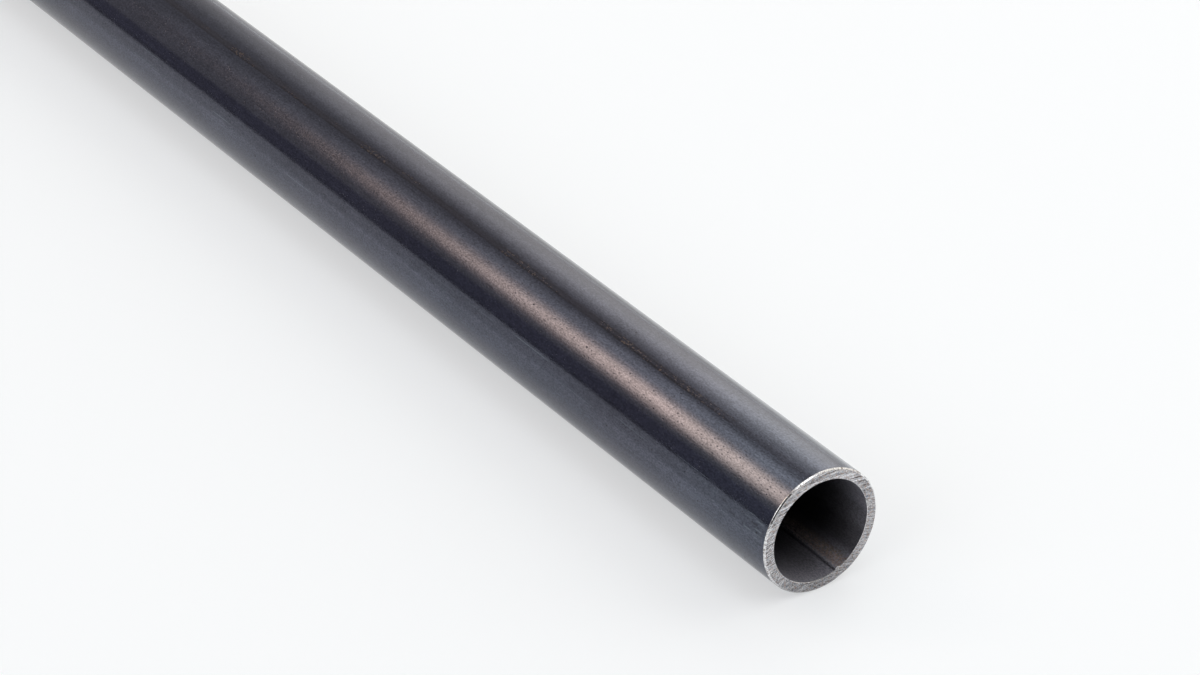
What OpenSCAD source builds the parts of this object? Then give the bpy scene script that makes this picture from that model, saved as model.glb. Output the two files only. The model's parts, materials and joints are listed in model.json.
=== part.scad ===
// Scaffold tube, seam welded and sawn to length, lying on its side.
// The axis runs along X through the origin, which is half way along the tube.
// The sawn end at +X is the near one, and the weld seam is set as it lies there.

/* [Tube] */
// Outside diameter
tube_od = 48.3; // [26.9:0.1:76.1]
// Wall thickness
wall = 4.0; // [2.3:0.1:6.3]
// Length between the sawn faces
tube_length = 1000; // [150:50:6400]

/* [Weld seam] */
// Angle of the seam round the tube, up from +Y towards +Z
seam_angle = -66.6; // [-180:0.2:180]
// Width of the bead that the weld leaves in the bore
bead_width = 1.8; // [1:0.1:3]
// Height of that bead above the bore's wall
bead_height = 0.8; // [0.3:0.1:1.5]
// Width of the flat where the outside flash is planed off
scarf_width = 6; // [2:0.5:10]

/* [Sawn ends] */
// Bevel that deburring leaves on the outside edge, along and across
rim_bevel = 0.5; // [0.2:0.1:1]
// Bevel on the edge of the bore, which the saw leaves nearly sharp
bore_bevel = 0.15; // [0.1:0.05:0.6]

/* [Hidden] */
$fn = 180;
outer_r = tube_od / 2;
bore_r = outer_r - wall;
half_length = tube_length / 2;
// Distance from the axis to the planed flat, which is a chord of the outside circle
scarf_depth_r = sqrt(pow(outer_r, 2) - pow(scarf_width / 2, 2));
// How far a cutting block reaches past what it cuts
overcut = 1;

// Turns the modelling axis Z onto the tube's axis X, with the profile's own X onto Y
module along_tube() {
    rotate([90, 0, 90]) children();
}

// Outline of the wall on one side of the axis, with its bevelled edges
module wall_profile() {
    polygon([
        [bore_r, -half_length + bore_bevel],
        [bore_r + bore_bevel, -half_length],
        [outer_r - rim_bevel, -half_length],
        [outer_r, -half_length + rim_bevel],
        [outer_r, half_length - rim_bevel],
        [outer_r - rim_bevel, half_length],
        [bore_r + bore_bevel, half_length],
        [bore_r, half_length - bore_bevel]
    ]);
}

// The strip rolled round into a tube
module rolled_wall() {
    rotate_extrude() wall_profile();
}

// Places a profile at the seam, with its own +X pointing outwards
module at_seam() {
    rotate([0, 0, seam_angle]) children();
}

// Flash squeezed into the bore by the weld: straight flanks and a round crest, sawn off with the tube
module weld_bead() {
    crest_r = bead_width / 2;
    crest_at = bore_r - bead_height + crest_r;
    foot_at = bore_r + wall / 2;
    at_seam()
        translate([0, 0, -half_length])
            linear_extrude(tube_length) {
                translate([crest_at, 0]) circle(crest_r);
                translate([crest_at, -crest_r]) square([foot_at - crest_at, bead_width]);
            }
}

// What the planing tool takes off the outside of the seam
module scarf_cut() {
    at_seam()
        translate([scarf_depth_r, -scarf_width, -half_length - overcut])
            cube([outer_r - scarf_depth_r + overcut, 2 * scarf_width, tube_length + 2 * overcut]);
}

module tube() {
    color([0.20, 0.21, 0.24])
        along_tube()
            difference() {
                union() {
                    rolled_wall();
                    weld_bead();
                }
                scarf_cut();
            }
}

tube();
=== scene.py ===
import json
import math

import bmesh
import bpy
from mathutils import Matrix, Vector


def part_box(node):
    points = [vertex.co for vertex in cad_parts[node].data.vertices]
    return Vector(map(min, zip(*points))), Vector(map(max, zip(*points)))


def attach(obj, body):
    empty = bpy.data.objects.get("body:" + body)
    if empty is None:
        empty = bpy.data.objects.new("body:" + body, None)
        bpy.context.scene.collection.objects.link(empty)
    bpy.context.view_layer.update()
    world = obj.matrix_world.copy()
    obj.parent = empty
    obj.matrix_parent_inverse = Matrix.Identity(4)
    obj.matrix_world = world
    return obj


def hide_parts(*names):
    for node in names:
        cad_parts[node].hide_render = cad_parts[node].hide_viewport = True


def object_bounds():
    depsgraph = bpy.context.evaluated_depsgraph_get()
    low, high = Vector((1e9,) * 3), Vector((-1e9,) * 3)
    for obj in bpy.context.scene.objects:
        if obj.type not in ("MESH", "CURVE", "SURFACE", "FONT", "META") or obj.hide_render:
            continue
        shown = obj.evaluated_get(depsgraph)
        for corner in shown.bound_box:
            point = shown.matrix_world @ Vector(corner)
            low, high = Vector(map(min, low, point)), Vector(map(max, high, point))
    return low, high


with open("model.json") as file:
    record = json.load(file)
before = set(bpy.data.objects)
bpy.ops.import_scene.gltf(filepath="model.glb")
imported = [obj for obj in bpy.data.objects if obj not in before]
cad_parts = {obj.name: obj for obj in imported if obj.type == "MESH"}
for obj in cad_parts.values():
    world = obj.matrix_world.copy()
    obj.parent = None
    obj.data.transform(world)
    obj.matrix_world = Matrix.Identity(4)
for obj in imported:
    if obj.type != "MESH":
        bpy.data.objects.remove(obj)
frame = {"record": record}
cad_low, cad_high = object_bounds()


# Strip rolled into a tube
# One length of hot-rolled strip, rolled round and welded along its edges, then sawn square at both ends.
# The wall's section is drawn here and swept round the axis, which gives skin, rims, faces and bore.
mounts = {mount["name"]: mount for mount in frame["record"]["mounts"]}
OUTER_R = mounts["clamp_seat"]["dims"]["r_mm"] / 1000
BORE_R = mounts["spigot_bore_near"]["dims"]["r_mm"] / 1000
HALF_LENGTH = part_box("tube")[1][0]
RIM_BEVEL = 0.00050
ARRIS = 0.00010
SAW_LIP = 0.00016
LIP_BEVEL = 0.00017
SEAM_BEARING = math.radians(-66.6)
# Centre of the saw blade in the plane of the face, which its marks curve round
BLADE_Y = 0.003
BLADE_Z = -0.085


def stations(first, growth, longest):
    """Distances from a sawn end to the middle, in steps that grow until they reach the longest."""
    steps = [0.0]
    step = first
    while steps[-1] + step < HALF_LENGTH:
        steps.append(steps[-1] + step)
        step = min(step * growth, longest)
    scale = HALF_LENGTH / steps[-1]
    return [distance * scale for distance in steps]


def half_section():
    """Points (x, radius, zone) of the wall from mid length, out along the skin and back along the bore.

    Zones: 0 skin, 1 rim, 2 sawn face, 3 lip, 4 bore. A point between two zones carries the number
    half way, so that a face's mean is its own zone."""
    bevel_end = HALF_LENGTH - RIM_BEVEL
    face_outer = OUTER_R - RIM_BEVEL
    slope = ARRIS * math.sqrt(0.5)
    points = []
    for distance in reversed(stations(0.0003, 1.5, 0.022)[1:]):
        points.append(((bevel_end - 2 * ARRIS) * (1 - distance / HALF_LENGTH), OUTER_R, 0))
    points += [
        (bevel_end - 2 * ARRIS, OUTER_R, 0.5),
        (bevel_end - ARRIS, OUTER_R, 1),
        (bevel_end, OUTER_R - 0.25 * slope, 1),
        (bevel_end + slope, OUTER_R - slope, 1),
        (bevel_end + 1.5 * slope, OUTER_R - 1.5 * slope, 1),
        (HALF_LENGTH - 0.5 * RIM_BEVEL, OUTER_R - 0.5 * RIM_BEVEL, 1),
        (HALF_LENGTH - 1.5 * slope, face_outer + 1.5 * slope, 1),
        (HALF_LENGTH - slope, face_outer + slope, 1),
        (HALF_LENGTH - 0.2 * slope, face_outer, 1),
        (HALF_LENGTH, face_outer - ARRIS, 1.5),
    ]
    face_steps = 20
    face_start = face_outer - ARRIS
    lip_r = BORE_R - SAW_LIP
    face_end = lip_r + LIP_BEVEL
    for step in range(1, face_steps):
        points.append((HALF_LENGTH, face_start + (face_end - face_start) * step / face_steps, 2))
    points += [
        (HALF_LENGTH, face_end, 2.5),
        (HALF_LENGTH - 0.5 * LIP_BEVEL, lip_r + 0.4 * LIP_BEVEL, 3),
        (HALF_LENGTH - LIP_BEVEL, lip_r, 3),
        (HALF_LENGTH - 2 * SAW_LIP, BORE_R, 3.5),
    ]
    for distance in stations(0.0004, 1.24, 0.040)[1:]:
        points.append(((HALF_LENGTH - 2 * SAW_LIP) * (1 - distance / HALF_LENGTH), BORE_R, 4))
    return points


def section_mesh():
    """The whole section, as a closed line of edges in the plane of x and radius."""
    half = half_section()
    far = [(-x, radius, zone) for x, radius, zone in reversed(half)]
    points = half + far[1:-1]
    mesh = bpy.data.meshes.new("wall_section")
    outline = bmesh.new()
    zone_layer = outline.verts.layers.float.new("zone")
    corners = []
    for x, radius, zone in points:
        corner = outline.verts.new((radius - BORE_R, x, 0))
        corner[zone_layer] = zone
        corners.append(corner)
    for corner, following in zip(corners, corners[1:] + corners[:1]):
        outline.edges.new((corner, following))
    outline.to_mesh(mesh)
    outline.free()
    return mesh


def place(tree, kind, inputs=None, **options):
    """Adds a node with its options, and gives each input its value or its link."""
    node = tree.nodes.new(kind)
    for option, value in options.items():
        setattr(node, option, value)
    for name, value in (inputs or {}).items():
        if isinstance(value, bpy.types.NodeSocket):
            tree.links.new(value, node.inputs[name])
        else:
            node.inputs[name].default_value = value
    return node


def calc(tree, operation, *values, clamp=False):
    """One sum of the tree, as its output."""
    node = place(tree, "ShaderNodeMath", dict(enumerate(values)), operation=operation, use_clamp=clamp)
    return node.outputs[0]


def times(tree, vector, factors):
    """A vector with each of its parts multiplied by its own factor."""
    return place(tree, "ShaderNodeVectorMath", {0: vector, 1: factors}, operation="MULTIPLY").outputs[0]


def joined(tree, x=0.0, y=0.0, z=0.0):
    """A vector made of three values."""
    return place(tree, "ShaderNodeCombineXYZ", {"X": x, "Y": y, "Z": z}).outputs[0]


def parts(tree, vector):
    """The X, Y and Z of a vector."""
    return place(tree, "ShaderNodeSeparateXYZ", {"Vector": vector}).outputs


def ramp(tree, value, low, high, to_low=0.0, to_high=1.0):
    """A smooth step from to_low to to_high while value goes from low to high."""
    inputs = {"Value": value, "From Min": low, "From Max": high, "To Min": to_low, "To Max": to_high}
    return place(tree, "ShaderNodeMapRange", inputs, interpolation_type="SMOOTHSTEP").outputs["Result"]


def window(tree, value, start, full, falling, end):
    """1 while value is between full and falling, and 0 before start and after end."""
    return calc(tree, "MULTIPLY", ramp(tree, value, start, full), ramp(tree, value, falling, end, 1.0, 0.0))


def rolled_tube_tree():
    """Geometry Nodes: turns the section round the axis, then shapes seam, scarf, sawn faces and rims."""
    tree = bpy.data.node_groups.new("Rolled tube", "GeometryNodeTree")
    tree.interface.new_socket("Section", in_out="INPUT", socket_type="NodeSocketGeometry")
    sizes = {
        "Outer Radius": OUTER_R, "Bore Radius": BORE_R, "Seam Bearing": SEAM_BEARING, "Crowding": 0.45,
        "Bead Height": 0.0008, "Bead Width": 0.0018, "Left Notch": 0.00020, "Right Notch": 0.00022,
        "Scarf Width": 0.006, "Fade Depth": 0.0016, "Ripple": 0.00006,
        "Saw Depth": 0.00003, "Saw Pitch": 0.0019, "Blade Y": BLADE_Y, "Blade Z": BLADE_Z,
        "Burr": 0.00006,
    }
    for name, size in sizes.items():
        socket = tree.interface.new_socket(name, in_out="INPUT", socket_type="NodeSocketFloat")
        socket.default_value = size
    tree.interface.new_socket("Segments", in_out="INPUT", socket_type="NodeSocketInt").default_value = 512
    tree.interface.new_socket("Seed", in_out="INPUT", socket_type="NodeSocketFloat").default_value = 7.0
    for name in ("Skin", "Rim", "Sawn Face", "Bore"):
        tree.interface.new_socket(name, in_out="INPUT", socket_type="NodeSocketMaterial")
    tree.interface.new_socket("Tube", in_out="OUTPUT", socket_type="NodeSocketGeometry")
    given = place(tree, "NodeGroupInput").outputs

    def sums(operation, *values):
        """One sum of this tree."""
        return calc(tree, operation, *values)

    def unevenness(vector, scale, detail=2.0):
        """A noise about nought."""
        inputs = {"Vector": vector, "Scale": scale, "Detail": detail, "W": given["Seed"]}
        noise = place(tree, "ShaderNodeTexNoise", inputs, noise_dimensions="4D").outputs[0]
        return sums("SUBTRACT", noise, 0.5)

    # The path round the axis, with its points closer together near the seam
    profile = place(tree, "GeometryNodeMeshToCurve", {"Mesh": given["Section"]}).outputs[0]
    circle = place(tree, "GeometryNodeCurvePrimitiveCircle", {"Resolution": given["Segments"]}).outputs[0]
    index = place(tree, "GeometryNodeInputIndex").outputs[0]
    turn = sums("DIVIDE", sums("MULTIPLY", index, math.tau), given["Segments"])
    crowded = sums("SUBTRACT", turn, sums("MULTIPLY", given["Crowding"], sums("SINE", turn)))
    bearing = sums("ADD", crowded, given["Seam Bearing"])
    ring = joined(tree, sums("MULTIPLY", given["Bore Radius"], sums("COSINE", bearing)),
                  sums("MULTIPLY", given["Bore Radius"], sums("SINE", bearing)))
    path = place(tree, "GeometryNodeSetPosition", {"Geometry": circle, "Position": ring}).outputs[0]
    swept = place(tree, "GeometryNodeCurveToMesh", {"Curve": path, "Profile Curve": profile}).outputs[0]

    # Where each point of the wall is: along the axis, out from it, and round from the seam
    spot = place(tree, "GeometryNodeInputPosition").outputs[0]
    at = parts(tree, spot)
    radius = sums("SQRT", sums("ADD", sums("MULTIPLY", at["X"], at["X"]),
                               sums("MULTIPLY", at["Y"], at["Y"])))
    turned = sums("SUBTRACT", sums("ARCTAN2", at["Y"], at["X"]), given["Seam Bearing"])
    from_seam = sums("WRAP", turned, math.pi, -math.pi)
    seam_gap = sums("MULTIPLY", from_seam, given["Bore Radius"])
    axial = at["Z"]
    zone = place(tree, "GeometryNodeInputNamedAttribute", {"Name": "zone"}, data_type="FLOAT").outputs[0]

    # The bead that the weld leaves in the bore: a steep flank and an easier one, an uneven crest and a
    # notch at each side
    lengthwise = joined(tree, x=seam_gap, z=axial)
    half_bead = sums("MULTIPLY", given["Bead Width"], 0.5)
    steep_foot = sums("MULTIPLY", half_bead, -1.25)
    steep_top = sums("MULTIPLY", half_bead, -0.7)
    easy_top = sums("MULTIPLY", half_bead, 0.1)
    easy_foot = sums("MULTIPLY", half_bead, 1.15)
    flanks = window(tree, seam_gap, steep_foot, steep_top, easy_top, easy_foot)
    crest = sums("MULTIPLY", flanks, sums("MULTIPLY", given["Bead Height"],
                                          sums("ADD", 1.0, unevenness(lengthwise, 260.0, 3.0))))
    beside_right = sums("ABSOLUTE", sums("SUBTRACT", seam_gap, sums("MULTIPLY", half_bead, 1.5)))
    beside_left = sums("ABSOLUTE", sums("SUBTRACT", seam_gap, sums("MULTIPLY", half_bead, -1.5)))
    notches = sums("ADD", ramp(tree, beside_right, 0.0, sums("MULTIPLY", half_bead, 0.4),
                               given["Right Notch"], 0.0),
                   ramp(tree, beside_left, 0.0, sums("MULTIPLY", half_bead, 0.45),
                        given["Left Notch"], 0.0))
    near_bore = sums("ADD", given["Bore Radius"], given["Fade Depth"])
    bore_share = ramp(tree, radius, given["Bore Radius"], near_bore, 1.0, 0.0)
    inward = sums("MULTIPLY", sums("SUBTRACT", crest, notches), bore_share)

    # The flat that the scarfing tool leaves where it planes off the outside flash
    half_scarf = sums("MULTIPLY", given["Scarf Width"], 0.5)
    flat_r = sums("SQRT", sums("SUBTRACT", sums("MULTIPLY", given["Outer Radius"], given["Outer Radius"]),
                               sums("MULTIPLY", half_scarf, half_scarf)))
    chord = sums("DIVIDE", flat_r, sums("MAXIMUM", sums("COSINE", from_seam), 0.5))
    planed = sums("MAXIMUM", sums("SUBTRACT", given["Outer Radius"], chord), 0.0)
    near_skin = sums("SUBTRACT", given["Outer Radius"], given["Fade Depth"])
    skin_share = ramp(tree, radius, near_skin, given["Outer Radius"])

    # Slow ripples that the forming rolls leave along the strip
    rolled = times(tree, spot, (1.0, 1.0, 0.09))
    ripple = sums("MULTIPLY", unevenness(rolled, 55.0, 1.0), given["Ripple"])
    outward = sums("SUBTRACT", sums("MULTIPLY", sums("SUBTRACT", ripple, planed), skin_share), inward)

    # Saw marks: shallow waves round the blade's centre that wander a little, and a burr at both edges
    blade = joined(tree, sums("SUBTRACT", at["X"], given["Blade Y"]),
                   sums("SUBTRACT", at["Y"], given["Blade Z"]))
    reach = place(tree, "ShaderNodeVectorMath", {0: blade}, operation="LENGTH").outputs["Value"]
    wander = sums("MULTIPLY", unevenness(spot, 120.0), 4.0)
    stroke = sums("DIVIDE", sums("MULTIPLY", reach, math.tau), given["Saw Pitch"])
    wave = sums("SINE", sums("ADD", stroke, wander))
    on_face = window(tree, zone, 1.0, 1.6, 2.4, 3.0)
    uneven_wave = sums("ADD", sums("MULTIPLY", wave, 0.5), unevenness(spot, 420.0))
    marks = sums("MULTIPLY", uneven_wave, given["Saw Depth"])
    on_edge = sums("ADD", window(tree, zone, 0.4, 1.0, 1.0, 1.6), window(tree, zone, 2.2, 2.6, 3.0, 3.6))
    ragged = sums("MULTIPLY", sums("MULTIPLY", unevenness(spot, 900.0, 3.0), given["Burr"]), on_edge)
    lift = sums("ADD", sums("MULTIPLY", marks, on_face), sums("MULTIPLY", ragged, 0.4))

    # Every shift put together, radial first, then along the axis
    stretch = sums("DIVIDE", sums("ADD", radius, sums("ADD", outward, ragged)), radius)
    moved = joined(tree, sums("MULTIPLY", at["X"], stretch), sums("MULTIPLY", at["Y"], stretch),
                   sums("ADD", axial, sums("MULTIPLY", lift, sums("SIGN", axial))))
    shaped = place(tree, "GeometryNodeSetPosition", {"Geometry": swept, "Position": moved}).outputs[0]
    # The sweep's own axes are turned so that the tube lies along X
    axes = parts(tree, place(tree, "GeometryNodeInputPosition").outputs[0])
    lying = joined(tree, axes["Z"], axes["X"], axes["Y"])
    laid = place(tree, "GeometryNodeSetPosition", {"Geometry": shaped, "Position": lying}).outputs[0]
    smooth = place(tree, "GeometryNodeSetShadeSmooth", {"Geometry": laid}).outputs[0]

    real = place(tree, "GeometryNodeRealizeInstances", {"Geometry": smooth}).outputs[0]
    inputs = {"Geometry": real, "Material": given["Skin"]}
    finish = place(tree, "GeometryNodeSetMaterial", inputs).outputs[0]
    for material, number in (("Rim", 1), ("Sawn Face", 2), ("Rim", 3), ("Bore", 4)):
        chosen = sums("MULTIPLY", sums("GREATER_THAN", zone, number - 0.5),
                      sums("LESS_THAN", zone, number + 0.5))
        inputs = {"Geometry": finish, "Selection": chosen, "Material": given[material]}
        finish = place(tree, "GeometryNodeSetMaterial", inputs).outputs[0]
    place(tree, "NodeGroupOutput", {"Tube": finish})
    return tree


# Rolled skin
# The blue-black scale that the strip keeps from the hot mill, polished by the forming rolls.
# It is grained along the tube, with small pits, a brown streak with rust specks, and marks of handling.
# Bands of painted shade and painted light lie along it too.
SCALE_BLUE = (0.089, 0.095, 0.124)
SCALE_TEAL = (0.090, 0.101, 0.130)
SCALE_BROWN = (0.097, 0.090, 0.109)
STREAK_BROWN = (0.072, 0.062, 0.066)
STREAK_DARK = (0.034, 0.032, 0.036)
RUST = (0.17, 0.115, 0.080)
PIT_DARK = (0.020, 0.019, 0.022)
WORN_LIGHT = (0.19, 0.225, 0.255)
# Bearings from the seam of the brown streak, of a band of painted shade below the highlight and of the
# handled side
STREAK_BEARING = math.radians(106.5) - SEAM_BEARING
PAINTED_SHADE_BEARING = math.radians(161) - SEAM_BEARING
HANDLED_BEARING = math.radians(165) - SEAM_BEARING
# Distance between the streak's two dark lines
LINE_GAP = 0.0018


def effect(name, inputs, outputs):
    """An empty shader group, with its named inputs and outputs; gives the tree and what its inputs give."""
    tree = bpy.data.node_groups.new(name, "ShaderNodeTree")
    for socket_name, value in inputs.items():
        kind = "NodeSocketVector" if value is None else "NodeSocketFloat"
        socket = tree.interface.new_socket(socket_name, in_out="INPUT", socket_type=kind)
        if value is not None:
            socket.default_value = value
    for socket_name in outputs:
        tree.interface.new_socket(socket_name, in_out="OUTPUT", socket_type="NodeSocketFloat")
    return tree, place(tree, "NodeGroupInput").outputs


def use(tree, group, **inputs):
    """Places a group in a tree; an input's name is given with underscores for its blanks."""
    named = {name.replace("_", " "): value for name, value in inputs.items()}
    return place(tree, "ShaderNodeGroup", named, node_tree=group).outputs


def own_spot(tree):
    """The point in the piece's own axes, which for the tube are the frame's."""
    return place(tree, "ShaderNodeTexCoord").outputs["Object"]


def texture(tree, kind, vector, scale, detail=2.0, **options):
    """A noise or a Voronoi texture on a vector."""
    inputs = {"Vector": vector, "Scale": scale, "Detail": detail}
    return place(tree, kind, inputs, **options).outputs


def blend(tree, share, first, second):
    """A colour that goes from first to second as share goes from 0 to 1."""
    first, second = (end if isinstance(end, bpy.types.NodeSocket) else (*end, 1) for end in (first, second))
    return place(tree, "ShaderNodeMix", {0: share, 6: first, 7: second}, data_type="RGBA").outputs[2]


def toned(tree, shade, mask, gain, base=1.0):
    """A shade multiplied by base where the mask is 0, and by base + gain where it is 1."""
    return calc(tree, "MULTIPLY", shade, calc(tree, "MULTIPLY_ADD", mask, gain, base))


def dimmed(tree, colour, shade):
    """A colour made darker or lighter by a shade."""
    return place(tree, "ShaderNodeVectorMath", {0: colour, "Scale": shade}, operation="SCALE").outputs[0]


def spot_on_tube():
    """Where a point is on the tube, in metres: along it, round from the seam, and in from the sawn end."""
    tree, given = effect("Spot on tube", {"Radius": OUTER_R, "Half Length": HALF_LENGTH},
                         ("Along", "Round", "Bearing", "From End"))
    at = parts(tree, own_spot(tree))
    turned = calc(tree, "SUBTRACT", calc(tree, "ARCTAN2", at["Z"], at["Y"]), SEAM_BEARING)
    bearing = calc(tree, "WRAP", turned, math.tau, 0.0)
    place(tree, "NodeGroupOutput", {
        "Along": at["X"],
        "Bearing": bearing,
        "Round": calc(tree, "MULTIPLY", bearing, given["Radius"]),
        "From End": calc(tree, "SUBTRACT", given["Half Length"], calc(tree, "ABSOLUTE", at["X"])),
    })
    return tree


def scale_clouds():
    """How mill scale varies: broad clouds, lines along the tube and fine grain, each from 0 to 1."""
    tree, given = effect("Scale clouds", {"Cloud Size": 0.02, "Line Width": 0.0007, "Grain Size": 0.0004},
                         ("Cloud", "Lines", "Grain"))
    spot = own_spot(tree)
    found = {}
    kinds = (("Cloud", "Cloud Size", 0.35, 5.0), ("Lines", "Line Width", 0.006, 3.0),
             ("Grain", "Grain Size", 0.5, 3.0))
    for name, size, stretch, detail in kinds:
        scale = calc(tree, "DIVIDE", 1.0, given[size])
        noise = texture(tree, "ShaderNodeTexNoise", times(tree, spot, (stretch, 1, 1)), scale, detail)[0]
        found[name] = ramp(tree, noise, 0.3, 0.7)
    place(tree, "NodeGroupOutput", found)
    return tree


def small_pits():
    """Round pits strewn over a surface, one at most in each cell, thicker in some places than in others."""
    inputs = {"Along": 0.0, "Round": 0.0, "Cell": 0.003, "Radius": 0.0003, "Stretch": 1.4, "Share": 0.5,
              "Seed": 0.0}
    tree, given = effect("Small pits", inputs, ("Mask",))
    cell = given["Cell"]
    flat = joined(tree, calc(tree, "DIVIDE", calc(tree, "DIVIDE", given["Along"], given["Stretch"]), cell),
                  calc(tree, "DIVIDE", given["Round"], cell), given["Seed"])
    cells = texture(tree, "ShaderNodeTexVoronoi", flat, 1.0, 0.0, voronoi_dimensions="2D")
    shifted = place(tree, "ShaderNodeVectorMath", {0: flat, 1: given["Seed"]}, operation="ADD").outputs[0]
    crowd = texture(tree, "ShaderNodeTexNoise", shifted, 0.12, 2.0)[0]
    chance = place(tree, "ShaderNodeSeparateColor", {"Color": cells["Color"]}).outputs
    wanted = calc(tree, "MULTIPLY", given["Share"], ramp(tree, crowd, 0.38, 0.66, 0.15, 1.7))
    present = calc(tree, "LESS_THAN", chance["Red"], wanted)
    reach = calc(tree, "DIVIDE", given["Radius"], cell)
    reach = calc(tree, "MULTIPLY", reach, ramp(tree, chance["Green"], 0.0, 1.0, 0.45, 1.25))
    mask = ramp(tree, cells["Distance"], calc(tree, "MULTIPLY", reach, 0.2), reach, 1.0, 0.0)
    depth = ramp(tree, chance["Blue"], 0.0, 1.0, 0.45, 1.0)
    mask = calc(tree, "MULTIPLY", calc(tree, "MULTIPLY", mask, present), depth)
    place(tree, "NodeGroupOutput", {"Mask": mask})
    return tree


def fine_strokes():
    """Thin straight marks that all run one way: scratches, or the marks of a saw."""
    inputs = {"Along": 0.0, "Across": 0.0, "Length": 0.02, "Pitch": 0.002, "Width": 0.0001, "Share": 0.3,
              "Seed": 0.0}
    tree, given = effect("Fine strokes", inputs, ("Mask",))
    lengths = calc(tree, "DIVIDE", given["Along"], given["Length"])
    pitches = calc(tree, "DIVIDE", given["Across"], given["Pitch"])
    flat = joined(tree, calc(tree, "ADD", lengths, given["Seed"]),
                  calc(tree, "ADD", pitches, given["Seed"]))
    cells = texture(tree, "ShaderNodeTexVoronoi", flat, 1.0, 0.0, voronoi_dimensions="2D")
    gap = place(tree, "ShaderNodeVectorMath", {0: flat, 1: cells["Position"]}, operation="SUBTRACT")
    away = parts(tree, gap.outputs[0])
    chance = place(tree, "ShaderNodeSeparateColor", {"Color": cells["Color"]}).outputs
    width = calc(tree, "DIVIDE", given["Width"], given["Pitch"])
    core = calc(tree, "MULTIPLY", width, 0.3)
    side = ramp(tree, calc(tree, "ABSOLUTE", away["Y"]), core, width, 1.0, 0.0)
    end = ramp(tree, calc(tree, "ABSOLUTE", away["X"]), 0.2, 0.45, 1.0, 0.0)
    present = calc(tree, "LESS_THAN", chance["Red"], given["Share"])
    mask = calc(tree, "MULTIPLY", calc(tree, "MULTIPLY", side, end), present)
    strength = ramp(tree, chance["Green"], 0.0, 1.0, 0.3, 1.0)
    place(tree, "NodeGroupOutput", {"Mask": calc(tree, "MULTIPLY", mask, strength)})
    return tree


SPOT_ON_TUBE = spot_on_tube()
SCALE_CLOUDS = scale_clouds()
SMALL_PITS = small_pits()
FINE_STROKES = fine_strokes()


def new_finish(name, metal):
    """A material with its Principled shader, metal being the same all over."""
    material = bpy.data.materials.new(name)
    material.use_nodes = True
    shader = material.node_tree.nodes["Principled BSDF"]
    shader.inputs["Metallic"].default_value = metal
    return material, material.node_tree, shader


def raised(tree, shader, *heights):
    """Gives the shader its relief: pairs of a height from 0 to 1 and what it stands for, in metres."""
    normal = None
    for height, distance in heights:
        inputs = {"Height": height, "Distance": distance, "Strength": 1.0}
        if normal is not None:
            inputs["Normal"] = normal
        normal = place(tree, "ShaderNodeBump", inputs).outputs[0]
    tree.links.new(normal, shader.inputs["Normal"])


def near_bearing(tree, bearing, centre, inside, outside):
    """A band along the tube: 1 within the distance inside of its bearing, and 0 beyond outside."""
    away = calc(tree, "ABSOLUTE", calc(tree, "MULTIPLY", calc(tree, "SUBTRACT", bearing, centre), OUTER_R))
    return ramp(tree, away, inside, outside, 1.0, 0.0)


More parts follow.
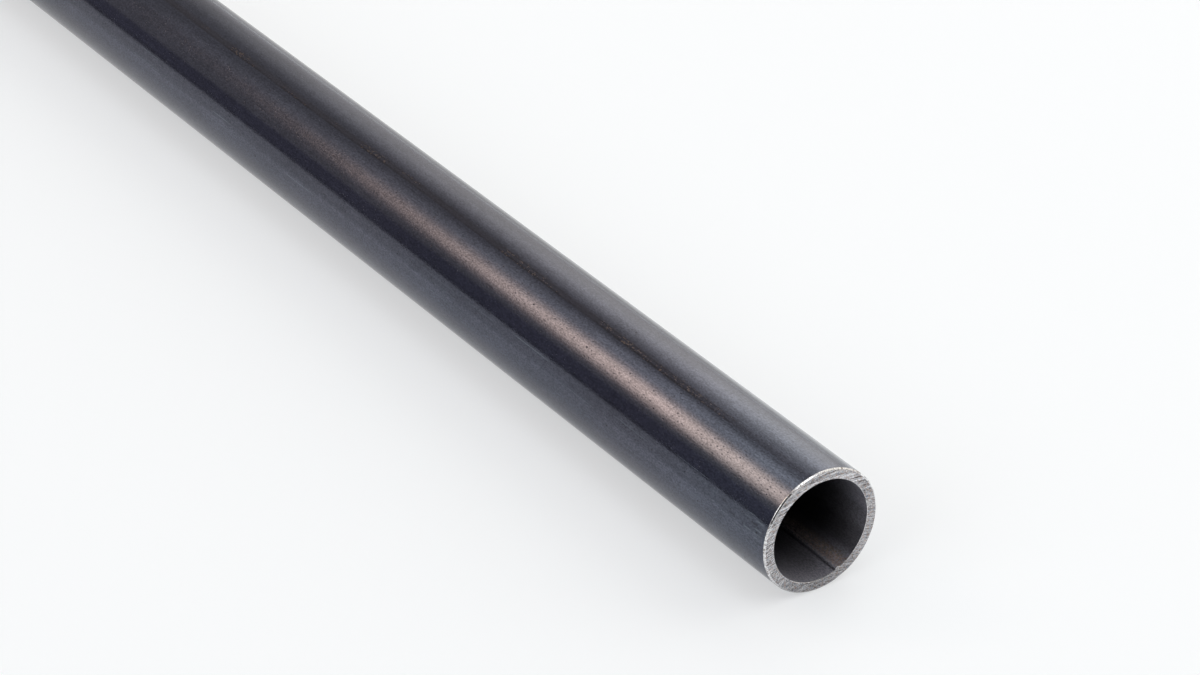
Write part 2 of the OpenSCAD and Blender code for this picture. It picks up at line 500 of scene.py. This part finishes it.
def mill_scale():
    """The blue-black skin, with bands of painted shade and painted light along it."""
    material, tree, shader = new_finish("mill_scale", 1.0)
    spot = use(tree, SPOT_ON_TUBE)
    where = own_spot(tree)
    vary = use(tree, SCALE_CLOUDS, Cloud_Size=0.018, Line_Width=0.0007, Grain_Size=0.0005)
    broad = use(tree, SCALE_CLOUDS, Cloud_Size=0.055, Line_Width=0.0032, Grain_Size=0.0026)
    few = use(tree, SMALL_PITS, Along=spot["Along"], Round=spot["Round"], Cell=0.0055, Radius=0.00036,
              Stretch=1.6, Share=0.50, Seed=3.0)
    many = use(tree, SMALL_PITS, Along=spot["Along"], Round=spot["Round"], Cell=0.0015, Radius=0.00030,
               Stretch=1.5, Share=0.55, Seed=8.0)
    scratch = use(tree, FINE_STROKES, Along=spot["Along"], Across=spot["Round"], Length=0.032, Pitch=0.0024,
                  Width=0.00022, Share=0.26, Seed=5.0)
    scuff = use(tree, FINE_STROKES, Along=spot["Along"], Across=spot["Round"], Length=0.0065, Pitch=0.0014,
                Width=0.00045, Share=0.45, Seed=31.0)
    smear = use(tree, FINE_STROKES, Along=spot["Along"], Across=spot["Round"], Length=0.0050, Pitch=0.0019,
                Width=0.00055, Share=0.45, Seed=47.0)
    near_end = ramp(tree, spot["From End"], 0.020, 0.090, 1.0, 0.0)

    # The streak is two thin dark lines that wander together, with brown scale and rust specks between them
    patches = texture(tree, "ShaderNodeTexNoise", times(tree, where, (0.4, 1, 1)), 95.0)[0]
    clumps = texture(tree, "ShaderNodeTexNoise", times(tree, where, (0.55, 1, 1)), 1300.0, 3.0)[0]
    off_streak = calc(tree, "MULTIPLY", calc(tree, "SUBTRACT", spot["Bearing"], STREAK_BEARING), OUTER_R)
    wandering = calc(tree, "MULTIPLY_ADD", broad["Cloud"], 0.0010, -0.0005)
    off_streak = calc(tree, "ADD", off_streak, wandering)
    lower_line = ramp(tree, calc(tree, "ABSOLUTE", off_streak), 0.00015, 0.00060, 1.0, 0.0)
    off_upper = calc(tree, "ABSOLUTE", calc(tree, "ADD", off_streak, LINE_GAP))
    upper_line = ramp(tree, off_upper, 0.0001, 0.0005, 0.6, 0.0)
    streak = calc(tree, "MULTIPLY", calc(tree, "MAXIMUM", lower_line, upper_line),
                  ramp(tree, patches, 0.40, 0.62, 0.35, 1.0))
    streak = toned(tree, streak, near_end, -0.6)
    between = toned(tree, window(tree, off_streak, -0.0034, -0.0014, -0.0001, 0.0006), near_end, -0.6)
    rusted = calc(tree, "MULTIPLY", calc(tree, "MULTIPLY", ramp(tree, clumps, 0.50, 0.68), between),
                  ramp(tree, patches, 0.46, 0.60, 0.0, 1.0))

    colour = blend(tree, calc(tree, "MULTIPLY", broad["Cloud"], 0.3), SCALE_BLUE, SCALE_BROWN)
    colour = blend(tree, calc(tree, "MULTIPLY", near_end, 0.7), colour, SCALE_TEAL)
    shade = calc(tree, "MULTIPLY_ADD", vary["Lines"], 0.10, 0.95)
    shade = toned(tree, shade, vary["Grain"], 0.54, 0.73)
    shade = toned(tree, shade, broad["Grain"], 0.12, 0.94)
    shade = toned(tree, shade, vary["Cloud"], 0.12, 0.94)
    # Painted shade: a darker band along the tube below the highlight
    painted_shade_band = near_bearing(tree, spot["Bearing"], PAINTED_SHADE_BEARING, 0.0020, 0.0046)
    shade = toned(tree, shade, painted_shade_band, -0.27)
    # Painted light: a lighter band above the streak near the end
    painted_light_band = near_bearing(tree, spot["Bearing"], STREAK_BEARING - 0.07, 0.0012, 0.0028)
    painted_light_end = calc(tree, "MULTIPLY", near_end, painted_light_band)
    shade = toned(tree, shade, painted_light_end, 0.4)
    # Painted light: the whole skin a little lighter near the end
    shade = toned(tree, shade, near_end, 0.06, 0.98)
    shaded = dimmed(tree, colour, shade)
    shaded = blend(tree, calc(tree, "MULTIPLY", between, 0.40), shaded, STREAK_BROWN)
    shaded = blend(tree, calc(tree, "MULTIPLY", streak, 0.6), shaded, STREAK_DARK)

    # Handling leaves short pale and dark strokes on one side near the end, and long scratches further on
    handled_side = near_bearing(tree, spot["Bearing"], HANDLED_BEARING, 0.0030, 0.0060)
    handled = calc(tree, "MULTIPLY", ramp(tree, spot["From End"], 0.012, 0.045, 1.0, 0.0), handled_side)
    shaded = blend(tree, toned(tree, scratch["Mask"], handled_side, 0.40, 0.10), shaded, WORN_LIGHT)
    for strokes, strength, tint in ((scuff, 0.40, WORN_LIGHT), (smear, 0.55, PIT_DARK)):
        mark = calc(tree, "MULTIPLY", calc(tree, "MULTIPLY", strokes["Mask"], handled), strength)
        shaded = blend(tree, mark, shaded, tint)
    pitted = calc(tree, "MAXIMUM", calc(tree, "MULTIPLY", few["Mask"], 0.80),
                  calc(tree, "MULTIPLY", many["Mask"], 0.48))
    shaded = blend(tree, pitted, shaded, PIT_DARK)
    shaded = blend(tree, calc(tree, "MULTIPLY", rusted, 0.50), shaded, RUST)
    tree.links.new(shaded, shader.inputs["Base Color"])

    rough = calc(tree, "MULTIPLY_ADD", vary["Grain"], 0.03, 0.090)
    rough = calc(tree, "MULTIPLY_ADD", broad["Cloud"], 0.03, rough)
    rough = calc(tree, "MULTIPLY_ADD", calc(tree, "MAXIMUM", pitted, rusted), 0.35, rough)
    tree.links.new(rough, shader.inputs["Roughness"])
    sunk = calc(tree, "SUBTRACT", 1.0, pitted)
    raised(tree, shader, (vary["Lines"], 0.0000010), (vary["Grain"], 0.0000048), (broad["Grain"], 0.000006),
           (sunk, 0.00004), (scratch["Mask"], -0.000004))
    return material


skin = mill_scale()


# Bore
# The inside of the strip, which the rolls never touch: rougher, duller scale, painted darker from the mouth
# inwards as painted shade.
# The weld has burnt a brown band along one side of its bead; a painted shadow line lies along the other.
BORE_AT_MOUTH = (0.27, 0.265, 0.305)
BORE_DEEP_SHADE = (0.030, 0.029, 0.034)
BURNT_BROWN = (0.30, 0.235, 0.21)
BURNT_DEEP_SHADE = (0.090, 0.073, 0.068)
BEAD_SHADOW = (0.012, 0.011, 0.012)


def bore_scale():
    """The matt scale of the bore, painted darker inwards as painted shade, with the burnt band, painted
    shade past it and a painted shadow line beside the bead.
    """
    material, tree, shader = new_finish("bore_scale", 0.35)
    spot = use(tree, SPOT_ON_TUBE, Radius=BORE_R)
    vary = use(tree, SCALE_CLOUDS, Cloud_Size=0.012, Line_Width=0.0011, Grain_Size=0.0005)
    specks = texture(tree, "ShaderNodeTexNoise", own_spot(tree), 1500.0, 2.0)[0]
    pits = use(tree, SMALL_PITS, Along=spot["Along"], Round=spot["Round"], Cell=0.0013, Radius=0.00030,
               Stretch=1.5, Share=0.5, Seed=13.0)
    # Painted shade: the colour darkens from the mouth inwards
    depth = calc(tree, "POWER", ramp(tree, spot["From End"], 0.0, 0.030), 0.6)
    colour = blend(tree, depth, BORE_AT_MOUTH, BORE_DEEP_SHADE)
    burnt = blend(tree, depth, BURNT_BROWN, BURNT_DEEP_SHADE)
    # Round is measured from the seam both ways here, so that the band lies on one side of the bead only
    off_seam = calc(tree, "WRAP", spot["Round"], math.pi * BORE_R, -math.pi * BORE_R)
    ragged = calc(tree, "MULTIPLY_ADD", vary["Grain"], 0.0016, off_seam)
    band = window(tree, ragged, 0.0006, 0.0012, 0.0050, 0.0066)
    speckled = calc(tree, "MULTIPLY", band, ramp(tree, specks, 0.38, 0.58, 0.15, 1.0))
    colour = blend(tree, speckled, colour, burnt)
    shade = calc(tree, "MULTIPLY_ADD", vary["Cloud"], 0.30, 0.85)
    shade = toned(tree, shade, vary["Grain"], 0.60, 0.70)
    # Painted shade: the bore is darker on the burnt side, past the band
    painted_shade_past = window(tree, off_seam, 0.0060, 0.0085, 0.0135, 0.0180)
    shade = toned(tree, shade, painted_shade_past, -0.38)
    painted_shade_wider = window(tree, off_seam, 0.0025, 0.0055, 0.0225, 0.0275)
    shade = toned(tree, shade, painted_shade_wider, -0.40)
    colour = dimmed(tree, colour, shade)
    # Painted shadow: a dark line beside the bead, at the foot of its steep flank
    bead_shadow_line = calc(tree, "ABSOLUTE", calc(tree, "ADD", off_seam, 0.00130))
    bead_shadow_line = ramp(tree, calc(tree, "MULTIPLY_ADD", vary["Grain"], 0.0003, bead_shadow_line), 0.0002, 0.0009, 0.7, 0.0)
    bead_shadow_line = calc(tree, "MULTIPLY", bead_shadow_line, ramp(tree, spot["From End"], 0.004, 0.015, 1.0, 0.12))
    colour = blend(tree, bead_shadow_line, colour, BEAD_SHADOW)
    tree.links.new(colour, shader.inputs["Base Color"])
    rough = calc(tree, "MULTIPLY_ADD", vary["Cloud"], 0.12, 0.46)
    tree.links.new(rough, shader.inputs["Roughness"])
    raised(tree, shader, (vary["Grain"], 0.00002), (vary["Cloud"], 0.00006),
           (calc(tree, "SUBTRACT", 1.0, pits["Mask"]), 0.00004))
    return material


bore = bore_scale()


# Sawn faces and their rims
# Bare steel: the saw leaves curved marks across each face and a burr at its edges, and a file breaks the
# rim. The marks' glints and shade are painted into the steel's colour as light and dark strokes, partly the
# cut's own tone; brown and blue tints lie between them, and others cross them on one side.
STEEL_LIGHT_AND_GLINT = (0.88, 0.87, 0.885)
STEEL_DARK_AND_SHADE = (0.055, 0.046, 0.050)
STEEL_BROWN = (0.36, 0.25, 0.20)
STEEL_BLUE = (0.30, 0.37, 0.47)
FILED_DARK = (0.52, 0.51, 0.52)
FILED_LIGHT = (0.90, 0.90, 0.90)
FILED_STAIN = (0.15, 0.11, 0.095)
# Bearing from the seam of the rim's right shoulder, where the rim is darker
SHOULDER_BEARING = math.radians(68) - SEAM_BEARING
# How the second set of marks leans on the face: its share of level and of rise
SLANT = (0.64, 0.77)


def sawn_steel():
    """The face as the saw leaves it, with the marks' glints and shade painted into its colour."""
    material, tree, shader = new_finish("sawn_steel", 1.0)
    spot = own_spot(tree)
    at = parts(tree, spot)
    level = calc(tree, "SUBTRACT", at["Y"], BLADE_Y)
    rise = calc(tree, "SUBTRACT", at["Z"], BLADE_Z)
    square = calc(tree, "ADD", calc(tree, "MULTIPLY", level, level), calc(tree, "MULTIPLY", rise, rise))
    reach = calc(tree, "SQRT", square)
    swing = calc(tree, "MULTIPLY", calc(tree, "ARCTAN2", level, rise), abs(BLADE_Z))
    vary = use(tree, SCALE_CLOUDS, Cloud_Size=0.0030, Line_Width=0.0011, Grain_Size=0.0005)
    # Teeth marks of several widths along the blade's path, and a set that crosses them
    paths = joined(tree, calc(tree, "DIVIDE", swing, 0.010), calc(tree, "DIVIDE", reach, 0.00056))
    furrows = ramp(tree, texture(tree, "ShaderNodeTexNoise", paths, 1.0, 3.0)[0], 0.38, 0.62)
    hairs = joined(tree, calc(tree, "DIVIDE", swing, 0.0018), calc(tree, "DIVIDE", reach, 0.00042))
    nicks = ramp(tree, texture(tree, "ShaderNodeTexNoise", hairs, 1.0, 2.0)[0], 0.38, 0.62)
    stains = texture(tree, "ShaderNodeTexNoise", spot, 1100.0, 2.0)[0]
    broad = use(tree, FINE_STROKES, Along=swing, Across=reach, Length=0.010, Pitch=0.0011, Width=0.00028,
                Share=0.5, Seed=2.0)
    glint_strokes = use(tree, FINE_STROKES, Along=swing, Across=reach, Length=0.008, Pitch=0.0010, Width=0.00022,
                 Share=0.5, Seed=9.0)
    leaning = calc(tree, "ADD", calc(tree, "MULTIPLY", at["Y"], SLANT[0]),
                   calc(tree, "MULTIPLY", at["Z"], SLANT[1]))
    sideways = calc(tree, "SUBTRACT", calc(tree, "MULTIPLY", at["Z"], SLANT[0]),
                    calc(tree, "MULTIPLY", at["Y"], SLANT[1]))
    crossing = use(tree, FINE_STROKES, Along=leaning, Across=sideways, Length=0.0035, Pitch=0.0009,
                   Width=0.00022, Share=0.55, Seed=17.0)
    crossed = calc(tree, "MULTIPLY", crossing["Mask"], ramp(tree, at["Y"], -0.020, -0.010, 1.0, 0.12))

    # Painted glints and shade: the long marks stand out towards the top, and the face is painted darker
    # towards its foot, where it nears the floor
    upper = ramp(tree, at["Z"], 0.0, 0.018, 0.35, 1.0)
    # Painted glint and shade, with the cut's own tone: how light each point of the face is painted
    light = calc(tree, "MULTIPLY_ADD", furrows, calc(tree, "MULTIPLY_ADD", upper, 0.22, 0.20), -0.07)
    light = calc(tree, "MULTIPLY_ADD", nicks, 0.32, light)
    light = calc(tree, "MULTIPLY_ADD", calc(tree, "MULTIPLY", glint_strokes["Mask"], upper), 0.60, light)
    light = calc(tree, "MULTIPLY_ADD", crossed, 0.50, light)
    light = calc(tree, "MULTIPLY_ADD", calc(tree, "MULTIPLY", broad["Mask"], upper), -0.40, light)
    light = calc(tree, "MULTIPLY_ADD", vary["Grain"], 0.38, light, clamp=True)
    colour = blend(tree, light, STEEL_DARK_AND_SHADE, STEEL_LIGHT_AND_GLINT)
    colour = blend(tree, ramp(tree, stains, 0.54, 0.66, 0.0, 0.65), colour, STEEL_BROWN)
    colour = blend(tree, ramp(tree, stains, 0.44, 0.34, 0.0, 0.40), colour, STEEL_BLUE)
    # Painted shade towards the foot of the face
    foot_shade = ramp(tree, at["Z"], -0.022, -0.008, 0.78, 1.0)
    colour = dimmed(tree, colour, foot_shade)
    tree.links.new(colour, shader.inputs["Base Color"])
    tree.links.new(calc(tree, "MULTIPLY_ADD", vary["Grain"], 0.12, 0.34), shader.inputs["Roughness"])
    raised(tree, shader, (vary["Grain"], 0.00001), (furrows, 0.000012), (nicks, 0.000008),
           (broad["Mask"], -0.000018), (crossed, 0.000010))
    return material


def filed_edge():
    """The broken edge round each face, and the lip that the saw has turned into the bore."""
    material, tree, shader = new_finish("filed_edge", 1.0)
    spot = use(tree, SPOT_ON_TUBE)
    where = own_spot(tree)
    vary = use(tree, SCALE_CLOUDS, Cloud_Size=0.0025, Line_Width=0.0008, Grain_Size=0.0005)
    colour = blend(tree, vary["Grain"], FILED_DARK, FILED_LIGHT)
    stains = texture(tree, "ShaderNodeTexNoise", where, 900.0, 2.0)[0]
    colour = blend(tree, ramp(tree, stains, 0.56, 0.66, 0.0, 0.7), colour, FILED_STAIN)
    # Painted shade: the rim is darker towards its foot, where it nears the floor; it is also darker over
    # its right shoulder
    height = parts(tree, where)["Z"]
    shade = ramp(tree, height, -0.0225, -0.012, 0.55, 1.0)
    shoulder = near_bearing(tree, spot["Bearing"], SHOULDER_BEARING, 0.005, 0.011)
    shade = toned(tree, shade, shoulder, -0.45)
    colour = dimmed(tree, colour, shade)
    tree.links.new(colour, shader.inputs["Base Color"])
    tree.links.new(calc(tree, "MULTIPLY_ADD", vary["Grain"], 0.08, 0.14), shader.inputs["Roughness"])
    raised(tree, shader, (vary["Grain"], 0.000012))
    return material


sawn = sawn_steel()
rim = filed_edge()


# The finished tube
# The swept wall, with its finishes on it, lies where the solid lies and stands for it.
section = section_mesh()
tube = bpy.data.objects.new("tube_steel", section)
bpy.context.scene.collection.objects.link(tube)
rolling = tube.modifiers.new("rolled", "NODES")
rolling.node_group = rolled_tube_tree()
finishes = {"Skin": skin, "Rim": rim, "Sawn Face": sawn, "Bore": bore}
for socket in rolling.node_group.interface.items_tree:
    if socket.in_out == "INPUT" and socket.name in finishes:
        rolling[socket.identifier] = finishes[socket.name]
depsgraph = bpy.context.evaluated_depsgraph_get()
solid = bpy.data.meshes.new_from_object(tube.evaluated_get(depsgraph), depsgraph=depsgraph)
tube.modifiers.remove(rolling)
tube.data = solid
solid.name = "tube_steel"
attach(tube, "root")
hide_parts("tube")


# Floor and studio
# A white floor with no edge in view and a pale sky. Soft boxes stand behind, in front, overhead, at the
# near end and at the side. Screens in front and by the camera give the skin its darker bands, and a grey
# sheet low down on the floor is painted shade: it stands for the floor's shade in what the steel mirrors.
FLOOR_Z = cad_low[2]
FLOOR_SIZE = 60
FLOOR_COLOUR = (0.84, 0.885, 0.93)
# Shares of the floor that are plain white to the camera, and where the steel mirrors it
WHITE_TO_CAMERA = 0.5
WHITE_TO_STEEL = 0.3
WHITE = (1.0, 1.0, 1.0)
SKY_LEVEL = 0.405
# Light that a pale haze adds to the sky at its foot
HAZE_LEVEL = 0.25


def panel(name, centre, facing, width, height, material, spin=0.0):
    """A flat rectangle that faces a point, with its width level, or spun by an angle."""
    mesh = bpy.data.meshes.new(name)
    corners = [(-width / 2, -height / 2, 0), (width / 2, -height / 2, 0),
               (width / 2, height / 2, 0), (-width / 2, height / 2, 0)]
    mesh.from_pydata(corners, [], [(0, 1, 2, 3)])
    mesh.materials.append(material)
    card = bpy.data.objects.new(name, mesh)
    bpy.context.scene.collection.objects.link(card)
    aim = (Vector(facing) - Vector(centre)).to_track_quat("Z", "Y").to_matrix().to_4x4()
    card.matrix_world = Matrix.Translation(centre) @ aim @ Matrix.Rotation(spin, 4, "Z")
    return card


def floor_paint():
    """Pale, and part of it shows to the camera and in the steel as white, whatever the light."""
    material, tree, shader = new_finish("floor_paint", 0.0)
    shader.inputs["Base Color"].default_value = (*FLOOR_COLOUR, 1)
    shader.inputs["Roughness"].default_value = 0.9
    ray = place(tree, "ShaderNodeLightPath").outputs
    mirrored = calc(tree, "MAXIMUM", ray["Is Glossy Ray"], ray["Is Transmission Ray"])
    white = place(tree, "ShaderNodeEmission", {"Color": (*WHITE, 1), "Strength": 1.0}).outputs[0]
    share = calc(tree, "MAXIMUM", calc(tree, "MULTIPLY", ray["Is Camera Ray"], WHITE_TO_CAMERA),
                 calc(tree, "MULTIPLY", mirrored, WHITE_TO_STEEL))
    mixed = place(tree, "ShaderNodeMixShader", {0: share, 1: shader.outputs[0], 2: white}).outputs[0]
    tree.links.new(mixed, tree.nodes["Material Output"].inputs["Surface"])
    return material


def soft_box(name, centre, facing, width, height, colour, strength, soft_side, soft_top, spin=0.0,
             most=9.0, behind=0.0):
    """A lit cloth that fades over a share of its width and of its height, unseen by the camera.

    Its light is held to the level most, and behind is how many times that goes out at the back."""
    material = bpy.data.materials.new(name)
    material.use_nodes = True
    tree = material.node_tree
    tree.nodes.clear()
    at = parts(tree, own_spot(tree))
    fade_x = ramp(tree, calc(tree, "ABSOLUTE", at["X"]), width / 2 * (1 - soft_side), width / 2, 1.0, 0.0)
    fade_y = ramp(tree, calc(tree, "ABSOLUTE", at["Y"]), height / 2 * (1 - soft_top), height / 2, 1.0, 0.0)
    back = place(tree, "ShaderNodeNewGeometry").outputs["Backfacing"]
    solid_back = calc(tree, "MULTIPLY_ADD", back, min(behind, 1.0) - 1.0, 1.0)
    share = calc(tree, "MULTIPLY", calc(tree, "MULTIPLY", fade_x, fade_y), solid_back)
    held = calc(tree, "MINIMUM", strength, calc(tree, "DIVIDE", most, calc(tree, "MAXIMUM", share, 0.001)))
    held = calc(tree, "MULTIPLY", held, calc(tree, "MULTIPLY_ADD", back, max(behind, 1.0) - 1.0, 1.0))
    light = place(tree, "ShaderNodeEmission", {"Color": (*colour, 1), "Strength": held}).outputs[0]
    clear = place(tree, "ShaderNodeBsdfTransparent").outputs[0]
    shown = place(tree, "ShaderNodeMixShader", {0: share, 1: clear, 2: light}).outputs[0]
    place(tree, "ShaderNodeOutputMaterial", {"Surface": shown})
    panel(name, centre, facing, width, height, material, spin).visible_camera = False


panel("floor", (0, 0, FLOOR_Z), (0, 0, 1), FLOOR_SIZE, FLOOR_SIZE, floor_paint())
soft_box("softbox_back", (0.364, 2.40, 1.432), (0.80, 0, 0), 7.33, 4.4, (1.0, 0.97, 0.90), 4.77,
         0.99, 0.99, most=1.9, behind=2.4)
soft_box("softbox_front", (-2.173, -1.548, 2.344), (0, 0, 0), 2.50, 1.30, (1.0, 0.765, 0.575), 5.5,
         0.99, 0.99, spin=0.75)
soft_box("softbox_top", (-0.202, -0.03, 1.55), (-0.121, 0, 0), 1.10, 4.0, (1.0, 1.0, 0.98), 1.43,
         0.89, 0.89)
soft_box("softbox_end", (2.0, 0.25, 2.1), (0.5, 0, 0), 1.7, 1.5, WHITE, 2.8, 0.6, 0.6)
soft_box("softbox_side", (0.7, -2.8, 1.75), (0.4, 0, 0), 4.0, 2.2, WHITE, 2.8, 0.5, 0.5)
soft_box("screen_front", (-5.6, -4.0, 0.984), (-5.6, 0, 0.984), 6.6, 2.078, (1.0, 0.98, 1.20), 0.227,
         0.10, 0.065)
# Painted shade: a grey sheet behind the tube that only the steel sees, in place of the floor's shade
soft_box("floor_shade_sheet", (-0.25, 0.25, FLOOR_Z + 0.001), (-0.25, 0.25, 1), 1.5, 0.7, WHITE, 0.66, 0.7, 0.8)
soft_box("screen_camera", (2.7, -1.9, 1.15), (0.5, 0, 0), 2.3, 2.7, WHITE, 0.03, 0.25, 0.25)

world = bpy.data.worlds.new("studio")
bpy.context.scene.world = world
world.use_nodes = True
sky = world.node_tree
sky.nodes.clear()
up = parts(sky, place(sky, "ShaderNodeTexCoord").outputs["Generated"])["Z"]
haze = ramp(sky, up, 0.03, 0.25, HAZE_LEVEL, 0.0)
level = calc(sky, "ADD", SKY_LEVEL, haze)
air = place(sky, "ShaderNodeBackground", {"Color": (1.0, 0.97, 0.98, 1), "Strength": level}).outputs[0]
place(sky, "ShaderNodeOutputWorld", {"Surface": air})
bpy.context.scene.view_settings.view_transform = "Standard"


# Camera
# It looks down on the near end, as the photograph does. The angles, the distance and the lens come
# from a camera fitted to the tube's two outlines and its sawn end.
CAMERA_AZIMUTH = math.radians(55.43)
CAMERA_ELEVATION = math.radians(31.2)
FOCAL_PIXELS = 4195.4
PHOTO_WIDTH = 1200
# Centre of the near end in the camera's own axes: to the right of them, below them and in front
NEAR_END_SEEN = Vector((0.0758, -0.0664, -1.4389))
camera = bpy.data.objects.new("camera", bpy.data.cameras.new("camera"))
bpy.context.scene.collection.objects.link(camera)
camera.data.sensor_width = 36.0
camera.data.lens = FOCAL_PIXELS * camera.data.sensor_width / PHOTO_WIDTH
camera.data.clip_end = 100
turn = Matrix.Rotation(CAMERA_AZIMUTH, 4, "Z") @ Matrix.Rotation(math.pi / 2 - CAMERA_ELEVATION, 4, "X")
near_end = Vector((HALF_LENGTH, 0, 0))
camera.matrix_world = Matrix.Translation(near_end - turn.to_3x3() @ NEAR_END_SEEN) @ turn
bpy.context.scene.camera = camera
